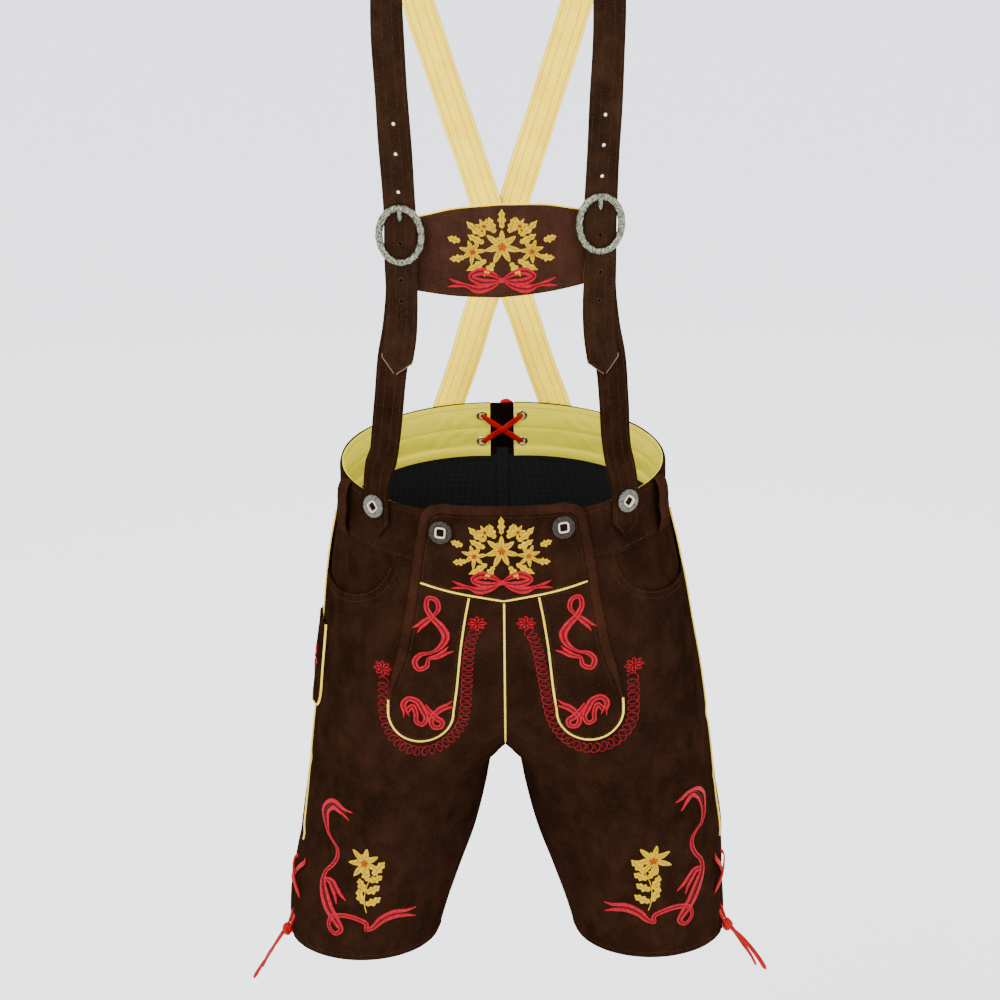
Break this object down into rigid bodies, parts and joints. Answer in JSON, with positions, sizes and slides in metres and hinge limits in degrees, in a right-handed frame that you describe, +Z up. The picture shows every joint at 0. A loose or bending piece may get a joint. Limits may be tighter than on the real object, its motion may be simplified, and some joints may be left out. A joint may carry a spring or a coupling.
{
  "type": "lederhosen",
  "caption": "Knee-length brown suede lederhosen with a buttoned drop-front flap, cream piping, side laces at the hem and H-shaped braces with a breast bar.",
  "frame": {"origin": "under the crown of the braces, midway between the wearer's shoulders, which carry the garment", "axes": "+Z up, -Y the garment's front, +X the wearer's left"},
  "size_m": [0.5568, 0.2792, 1.1371],
  "materials": {
    "suede": "dark brown suede with a soft nap",
    "suede_trim": "lighter brown suede, rolled",
    "strap_suede": "brown suede with rows of stitching",
    "cream_leather": "pale cream lining leather",
    "facing_cloth": "khaki cotton facing",
    "dark_lining": "near-black woven lining",
    "piping": "cream piping",
    "red_lace": "flat red lace",
    "horn": "polished horn",
    "old_silver": "antique silver"
  },
  "bodies": {
    "root": {"back_button_L": "horn", "back_button_R": "horn", "back_knot": "red_lace", "back_lace": "red_lace", "back_lace_end_L": "red_lace", "back_lace_end_R": "red_lace", "back_leg_L": "suede", "back_leg_R": "suede", "belt_loop_L": "suede_trim", "belt_loop_R": "suede_trim", "breast_bar": "strap_suede", "breast_bar_lining": "cream_leather", "buckle_L": "old_silver", "buckle_R": "old_silver", "eyelet_1": "old_silver", "eyelet_2": "old_silver", "eyelet_3": "old_silver", "eyelet_4": "old_silver", "facing_L": "facing_cloth", "facing_R": "facing_cloth", "flap_binding": "suede_trim", "flap_button_L": "horn", "flap_button_R": "horn", "flap_side_L": "suede", "flap_side_R": "suede", "flap_top": "suede", "front_leg_L": "suede", "front_leg_R": "suede", "gusset_back": "suede_trim", "hem_lace_L": "red_lace", "hem_lace_R": "red_lace", "hem_lace_end_L1": "red_lace", "hem_lace_end_L2": "red_lace", "hem_lace_end_R1": "red_lace", "hem_lace_end_R2": "red_lace", "knife_pocket": "suede", "piping_centre": "piping", "piping_flap_L": "piping", "piping_flap_R": "piping", "piping_side_L": "piping", "piping_side_R": "piping", "piping_yoke": "piping", "pocket_facing_L": "suede", "pocket_facing_R": "suede", "seat_lining_L": "dark_lining", "seat_lining_R": "dark_lining", "strap_L": "strap_suede", "strap_L_lining": "cream_leather", "strap_R": "strap_suede", "strap_R_lining": "cream_leather", "strap_button_L": "horn", "strap_button_R": "horn", "strap_lower_L": "strap_suede", "strap_lower_L_lining": "cream_leather", "strap_lower_R": "strap_suede", "strap_lower_R_lining": "cream_leather", "waistband_back_L": "suede", "waistband_back_R": "suede", "waistband_front_L": "suede", "waistband_front_R": "suede"}
  },
  "joints": []
}
